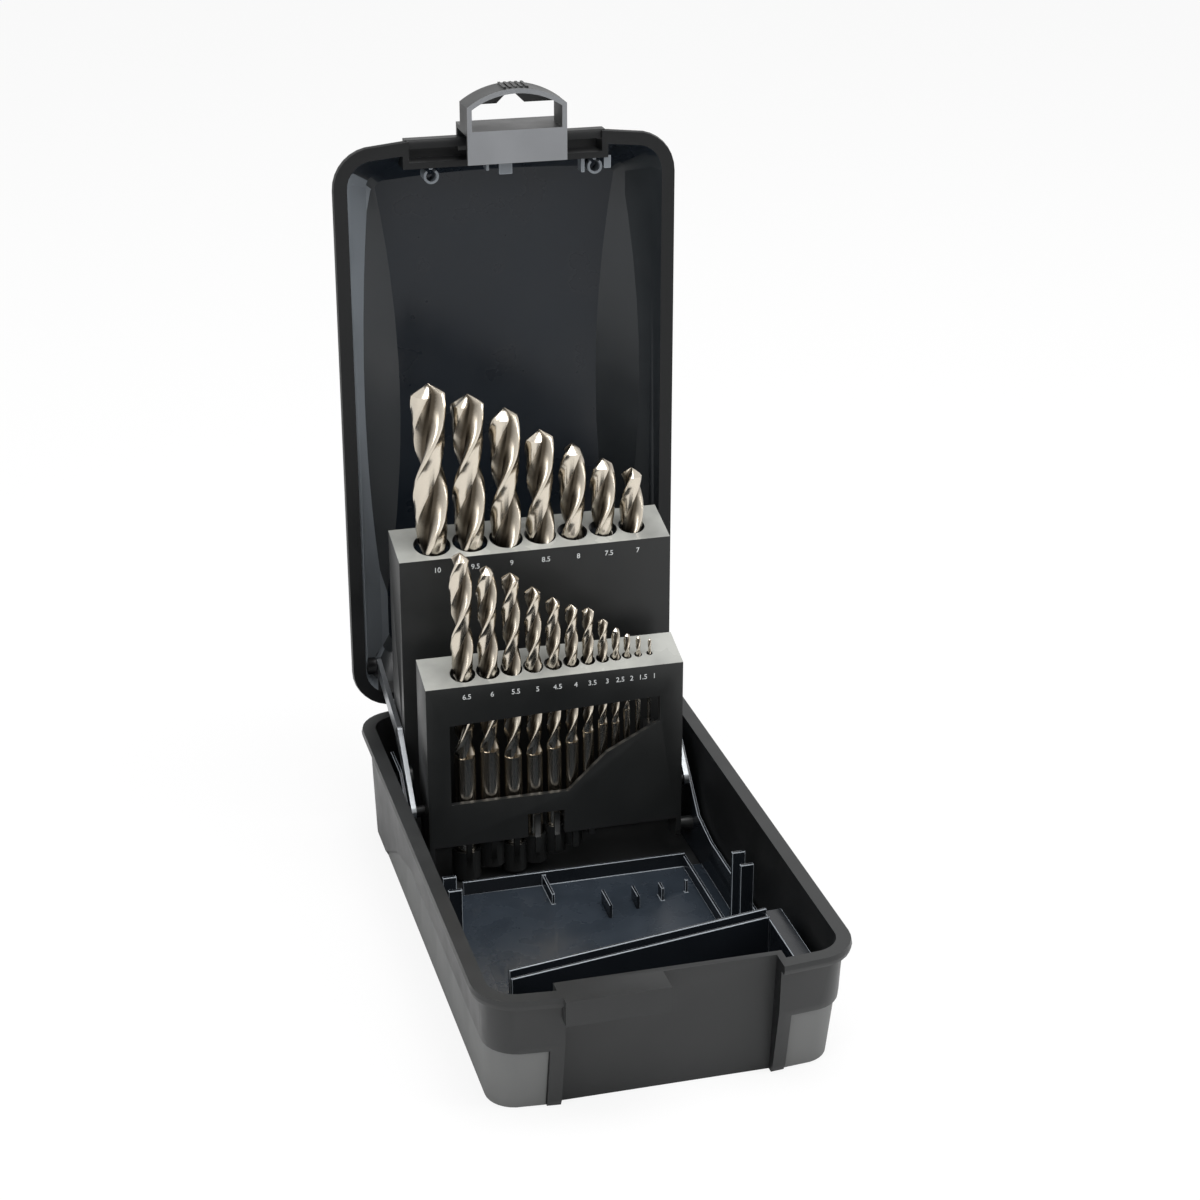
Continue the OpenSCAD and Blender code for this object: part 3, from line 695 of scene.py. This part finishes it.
@dataclass
class Rack:
    """One rack with a ledge whose top is painted light, and the printed drill sizes under it, in millimetres."""

    node: str
    drills: Sequence[DrillSize]
    depth: float
    ledge_rise: float = 4.0
    rounding: Rounding = Rounding(0.25, shortest=4.0)
    ledge_above: float = 65.0
    number_drop: float = 2.4
    number_height: float = 1.6
    font_share: float = 1.35
    ink_half: float = 0.04
    ink_out: float = 0.03

    def is_ledge(self, at: Vector, normal: Vector) -> bool:
        """Tells the top of the ledge.

        Args:
            at: Middle of the face in millimetres.
            normal: Normal of the face.

        Returns:
            Whether the face belongs to the top of the ledge.
        """
        return normal.z > FLAT and at.z > self.ledge_above

    def number(self, drill: DrillSize, place: Vector) -> bpy.types.Mesh:
        """Writes one drill's size on the front of the rack.

        Args:
            drill: Drill that stands there.
            place: Middle of the foot of the number in metres.

        Returns:
            The number as a mesh in its place.
        """
        curve = bpy.data.curves.new("size", "FONT")
        curve.body = f"{drill.diameter:g}"
        curve.size = self.number_height * MM * self.font_share
        curve.align_x = "CENTER"
        curve.extrude = self.ink_half * MM
        words = bpy.data.objects.new("size", curve)
        bpy.context.scene.collection.objects.link(words)
        mesh = applied(words)
        mesh.transform(Matrix.Translation(place) @ Matrix.Rotation(math.radians(90), 4, "X"))
        return mesh

    def numbers(self) -> None:
        """Sets each number under its drill and joins them into one piece."""
        _, rack_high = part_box(self.node)
        face_y = rack_high.y - self.depth * MM
        edge_z = rack_high.z - self.ledge_rise * MM
        foot_z = edge_z - (self.number_drop + self.number_height) * MM
        grid = bmesh.new()
        for drill in self.drills:
            low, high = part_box(drill.node)
            place = Vector(((low.x + high.x) / 2, face_y - self.ink_out * MM, foot_z))
            grid.from_mesh(self.number(drill, place))
        made = mesh_of(self.node + "_numbers", grid)
        dress(object_of(self.node + "_numbers", made), self.node, INK)

    def build(self) -> None:
        """Builds the rack and its numbers."""
        mould(self.node, self.node, self.rounding, RACK_ABS, RACK_EDGE_HIGHLIGHT_ABS,
              [Accent(RACK_LEDGE_LIT_ABS, self.is_ledge)])
        self.numbers()


@dataclass
class DrillSet:
    """The twist drills, each made by one Geometry Nodes tree that sweeps a fluted section up a twisted line."""

    drills: Sequence[DrillSize]
    # Length of one turn of the flutes, as a share of the diameter
    lead: float = 5.6
    rows_per_turn: int = 56
    # Tangent of half the point's angle of 118 degrees, and the chisel edge as a share of the radius
    point_slope: float = 1.664
    chisel: float = 0.06
    shank_share: float = 0.985
    shank_sides: int = 32
    sharp_turn: float = 40.0
    # The flutes count as cut below the first radius and as deepest at the second, for the painted shade in them
    flute_depths: tuple[float, float] = (0.93, 0.33)
    # Radius of the section by angle over half a turn: margin, relieved land, heel and flute
    section: tuple[tuple[float, float], ...] = (
        (0, 1), (9, 1), (12, 0.95), (35, 0.94), (62, 0.93), (78, 0.86), (88, 0.66), (99, 0.46),
        (113, 0.32), (128, 0.28), (142, 0.33), (155, 0.5), (166, 0.76), (174, 0.95))

    def outline(self) -> bpy.types.Mesh:
        """Draws the section of a drill of radius 1.

        Returns:
            A closed ring of edges with its flute depth as an attribute, which sets the painted shade in the
            flutes.
        """
        land, deepest = self.flute_depths
        rim = [(a + 180 * half, r) for half in (0, 1) for a, r in self.section]
        points = [(r * math.cos(math.radians(a)), r * math.sin(math.radians(a)), 0) for a, r in rim]
        mesh = bpy.data.meshes.new("drill_section")
        mesh.from_pydata(points, [(i, (i + 1) % len(points)) for i in range(len(points))], [])
        depth = mesh.attributes.new("flute_depth", "FLOAT", "POINT")
        for i, (_, r) in enumerate(rim):
            depth.data[i].value = max(0.0, min(1.0, (land - r) / (land - deepest)))
        return mesh

    def sweep(self, group: bpy.types.NodeTree, curve: bpy.types.NodeSocket, profile: bpy.types.NodeSocket,
              radius: bpy.types.NodeSocket) -> bpy.types.Node:
        """Sweeps a profile along a curve, with the radius on the sweep's scale input where it has one.

        Args:
            group: Tree to add to.
            curve: Curve with its radius set.
            profile: Closed profile of radius 1.
            radius: Radius along the curve.

        Returns:
            The node that sweeps.
        """
        node = add_node(group, "GeometryNodeCurveToMesh", {"Fill Caps": True}, Curve=curve, Profile_Curve=profile)
        if "Scale" in node.inputs:
            group.links.new(radius, node.inputs["Scale"])
        return node

    def fluted_body(self, group: bpy.types.NodeTree, ask: Any, neck: bpy.types.NodeSocket) -> bpy.types.Node:
        """Adds the fluted body, which tapers to its point.

        Args:
            group: Tree to add to.
            ask: Outputs of the group's input node.
            neck: Place of the lower end of the flutes.

        Returns:
            The node that holds the body.
        """
        top = add_node(group, "ShaderNodeCombineXYZ", {}, Z=ask["Length"])
        along = add_node(group, "GeometryNodeSplineParameter", {})
        spine = add_node(group, "GeometryNodeCurvePrimitiveLine", {}, Start=neck, End=top.outputs[0])
        stepped = add_node(group, "GeometryNodeResampleCurve", {"mode": "COUNT"}, Curve=spine.outputs[0],
                           Count=ask["Rows"])
        turn = add_node(group, "ShaderNodeMath", {"operation": "MULTIPLY", 1: 2 * math.pi}, i0=ask["Turns"])
        tilt = add_node(group, "ShaderNodeMath", {"operation": "MULTIPLY"}, i0=turn.outputs[0],
                        i1=along.outputs["Factor"])
        twisted = add_node(group, "GeometryNodeSetCurveTilt", {}, Curve=stepped.outputs[0],
                           Tilt=tilt.outputs[0])
        left = add_node(group, "ShaderNodeMath", {"operation": "SUBTRACT", 0: 1.0},
                        i1=along.outputs["Factor"])
        rest = add_node(group, "ShaderNodeMath", {"operation": "MULTIPLY"}, i0=left.outputs[0],
                        i1=ask["Flute"])
        # From the chisel edge down, the point widens by its slope until it reaches the radius
        cone = add_node(group, "ShaderNodeMath", {"operation": "MULTIPLY_ADD", 1: self.point_slope},
                        i0=rest.outputs[0], i2=ask["Radius"])
        rise = add_node(group, "ShaderNodeMath", {"operation": "MULTIPLY", 1: 1 - self.chisel},
                        i0=ask["Radius"])
        point = add_node(group, "ShaderNodeMath", {"operation": "SUBTRACT"}, i0=cone.outputs[0],
                         i1=rise.outputs[0])
        radius = add_node(group, "ShaderNodeMath", {"operation": "MINIMUM"}, i0=point.outputs[0],
                          i1=ask["Radius"])
        sized = add_node(group, "GeometryNodeSetCurveRadius", {}, Curve=twisted.outputs[0],
                         Radius=radius.outputs[0])
        ring = add_node(group, "GeometryNodeMeshToCurve", {}, Mesh=ask["Section"])
        return self.sweep(group, sized.outputs[0], ring.outputs[0], radius.outputs[0])

    def shank(self, group: bpy.types.NodeTree, ask: Any, neck: bpy.types.NodeSocket) -> bpy.types.Node:
        """Adds the plain shank below the flutes.

        Args:
            group: Tree to add to.
            ask: Outputs of the group's input node.
            neck: Place of the upper end of the shank.

        Returns:
            The node that holds the shank.
        """
        stem = add_node(group, "GeometryNodeCurvePrimitiveLine", {}, End=neck)
        ring = add_node(group, "GeometryNodeCurvePrimitiveCircle", {"Resolution": self.shank_sides})
        slim = add_node(group, "ShaderNodeMath", {"operation": "MULTIPLY", 1: self.shank_share},
                        i0=ask["Radius"])
        sized = add_node(group, "GeometryNodeSetCurveRadius", {}, Curve=stem.outputs[0],
                         Radius=slim.outputs[0])
        return self.sweep(group, sized.outputs[0], ring.outputs[0], slim.outputs[0])

    def tree(self) -> bpy.types.NodeTree:
        """Builds the tree of a drill of given sizes that stands on its foot.

        Returns:
            The node group, with its sizes as named inputs.
        """
        group = bpy.data.node_groups.new("twist_drill", "GeometryNodeTree")
        for name, kind in (("Section", "NodeSocketGeometry"), ("Radius", "NodeSocketFloat"),
                           ("Length", "NodeSocketFloat"), ("Flute", "NodeSocketFloat"),
                           ("Turns", "NodeSocketFloat"), ("Rows", "NodeSocketInt"),
                           ("Foot", "NodeSocketVector"), ("Steel", "NodeSocketMaterial")):
            group.interface.new_socket(name, in_out="INPUT", socket_type=kind)
        group.interface.new_socket("Drill", in_out="OUTPUT", socket_type="NodeSocketGeometry")
        ask = group.nodes.new("NodeGroupInput").outputs
        below = add_node(group, "ShaderNodeMath", {"operation": "SUBTRACT"}, i0=ask["Length"],
                         i1=ask["Flute"])
        neck = add_node(group, "ShaderNodeCombineXYZ", {}, Z=below.outputs[0]).outputs[0]
        joined = add_node(group, "GeometryNodeJoinGeometry", {})
        for part in (self.fluted_body(group, ask, neck), self.shank(group, ask, neck)):
            group.links.new(part.outputs[0], joined.inputs[0])
        placed = add_node(group, "GeometryNodeTransform", {}, Geometry=joined.outputs[0],
                          Translation=ask["Foot"])
        real = add_node(group, "GeometryNodeRealizeInstances", {}, Geometry=placed.outputs[0])
        steel = add_node(group, "GeometryNodeSetMaterial", {}, Geometry=real.outputs[0],
                         Material=ask["Steel"])
        group.links.new(steel.outputs[0], group.nodes.new("NodeGroupOutput").inputs[0])
        return group

    def build(self) -> None:
        """Makes every drill on its own CAD node."""
        tree = self.tree()
        sockets = {item.name: item.identifier for item in tree.interface.items_tree if item.in_out == "INPUT"}
        for drill in self.drills:
            low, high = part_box(drill.node)
            turns = drill.flute / (self.lead * drill.diameter)
            values = {
                "Radius": drill.diameter / 2 * MM, "Length": high.z - low.z, "Flute": drill.flute * MM,
                "Turns": turns, "Rows": int(turns * self.rows_per_turn),
                "Foot": Vector(((low.x + high.x) / 2, (low.y + high.y) / 2, low.z)),
                "Steel": DRILL_HSS.material()}
            blank = object_of(drill.node + "_section", self.outline())
            sweep = blank.modifiers.new("drill", "NODES")
            sweep.node_group = tree
            for name, value in values.items():
                sweep[sockets[name]] = value
            mesh = applied(blank)
            mesh.shade_smooth()
            mesh.set_sharp_from_angle(angle=math.radians(self.sharp_turn))
            dress(object_of(drill.node + "_drill", mesh), drill.node, DRILL_HSS, [drill.node])


@dataclass(frozen=True)
class Softbox:
    """A square area lamp: place and side in metres, power in watts."""

    name: str
    place: Point
    side: float
    watts: float

    def hang(self, aim: Vector) -> None:
        """Hangs the lamp so that it points at a place.

        Args:
            aim: Place that it points at, in metres.
        """
        data = bpy.data.lights.new(self.name, "AREA")
        data.size = self.side
        data.energy = self.watts
        lamp = bpy.data.objects.new(self.name, data)
        lamp.location = self.place
        lamp.rotation_euler = (Vector(self.place) - aim).to_track_quat("Z", "Y").to_euler()
        bpy.context.scene.collection.objects.link(lamp)


@dataclass
class Studio:
    """Plain pale floor, soft lamps and the camera of the photograph."""

    azimuth: float = -15.216
    elevation: float = 23.0
    focal_px: float = 2514.4
    distance: float = 0.6723
    target: Point = (0.0033, -0.0003, 0.1035)
    sensor_mm: float = 36.0
    clip: tuple[float, float] = (0.05, 20.0)
    floor_side: float = 6.0
    floor_drop: float = 2e-4
    floor_white: float = 0.86
    world_level: float = 0.55
    lamp_aim: Point = (0, 0.02, 0.08)
    lamps: tuple[Softbox, ...] = (
        Softbox("overhead softbox", (0.1, -0.1, 1.2), 0.7, 9.0),
        Softbox("left softbox", (-1.0, -0.7, 0.7), 0.6, 5.0),
        Softbox("right softbox", (0.9, -0.5, 0.6), 0.4, 4.0))

    def camera(self) -> None:
        """Places the camera at the photograph's angle, its focal length worked out for a square picture."""
        a, e = math.radians(self.azimuth), math.radians(self.elevation)
        back = Vector((math.sin(a) * math.cos(e), -math.cos(a) * math.cos(e), math.sin(e)))
        data = bpy.data.cameras.new("camera")
        data.sensor_width = self.sensor_mm
        data.lens = self.focal_px / IMAGE_SIDE * data.sensor_width
        data.clip_start, data.clip_end = self.clip
        eye = bpy.data.objects.new("camera", data)
        eye.location = Vector(self.target) + back * self.distance
        eye.rotation_euler = back.to_track_quat("Z", "Y").to_euler()
        bpy.context.scene.collection.objects.link(eye)
        bpy.context.scene.camera = eye

    def floor(self) -> None:
        """Lays a pale floor that looks white to the camera and keeps a faint shadow."""
        half, z = self.floor_side / 2, -self.floor_drop
        mesh = bpy.data.meshes.new("floor")
        mesh.from_pydata([(-half, -half, z), (half, -half, z), (half, half, z), (-half, half, z)],
                         [], [(0, 1, 2, 3)])
        plane = object_of("floor", mesh)
        made = bpy.data.materials.new("white studio floor")
        made.use_nodes = True
        tree = made.node_tree
        shader = tree.nodes["Principled BSDF"]
        shader.inputs["Base Color"].default_value = linear("#f4f4f4")
        shader.inputs["Roughness"].default_value = 0.9
        ray = add_node(tree, "ShaderNodeLightPath", {})
        seen = add_node(tree, "ShaderNodeMath", {"operation": "MULTIPLY", 1: self.floor_white},
                        i0=ray.outputs["Is Camera Ray"])
        glow = add_node(tree, "ShaderNodeEmission", {"Strength": 1.0})
        mixed = add_node(tree, "ShaderNodeMixShader", {}, i0=seen.outputs[0], i1=shader.outputs[0],
                         i2=glow.outputs[0])
        tree.links.new(mixed.outputs[0], tree.nodes["Material Output"].inputs["Surface"])
        mesh.materials.append(made)

    def world(self) -> None:
        """Lights the case evenly and shows white to the camera, in gloss and through clear pieces."""
        world = bpy.data.worlds.new("studio")
        bpy.context.scene.world = world
        world.use_nodes = True
        tree = world.node_tree
        tree.nodes.clear()
        ray = add_node(tree, "ShaderNodeLightPath", {})
        seen = add_node(tree, "ShaderNodeMath", {"operation": "ADD", "use_clamp": True},
                        i0=ray.outputs["Is Camera Ray"], i1=ray.outputs["Is Glossy Ray"])
        clear = add_node(tree, "ShaderNodeMath", {"operation": "ADD", "use_clamp": True},
                         i0=seen.outputs[0], i1=ray.outputs["Is Transmission Ray"])
        light = add_node(tree, "ShaderNodeBackground", {"Strength": self.world_level})
        white = add_node(tree, "ShaderNodeBackground", {"Strength": 1.0})
        for background in (light, white):
            background.inputs["Color"].default_value = (1, 1, 1, 1)
        mixed = add_node(tree, "ShaderNodeMixShader", {}, i0=clear.outputs[0], i1=light.outputs[0],
                         i2=white.outputs[0])
        add_node(tree, "ShaderNodeOutputWorld", {}, Surface=mixed.outputs[0])

    def build(self) -> None:
        """Sets up the floor, the light and the camera."""
        self.floor()
        self.world()
        for lamp in self.lamps:
            lamp.hang(Vector(self.lamp_aim))
        self.camera()
        bpy.context.scene.view_settings.view_transform = "Standard"


def main() -> None:
    """Builds the case piece by piece, then the studio, and reports each piece."""
    logging.basicConfig(level=logging.INFO, format="%(name)s: %(message)s")
    parts = (BaseShell(), Lid(), LatchHandle(), Rack("rack_rear", REAR_SET, depth=16.0),
             Rack("rack_front", FRONT_SET, depth=13.0), Linkage(), Tray(), LidFittings(),
             DrillSet(REAR_SET + FRONT_SET), Studio())
    for part in parts:
        part.build()


if __name__ == "__main__":
    main()
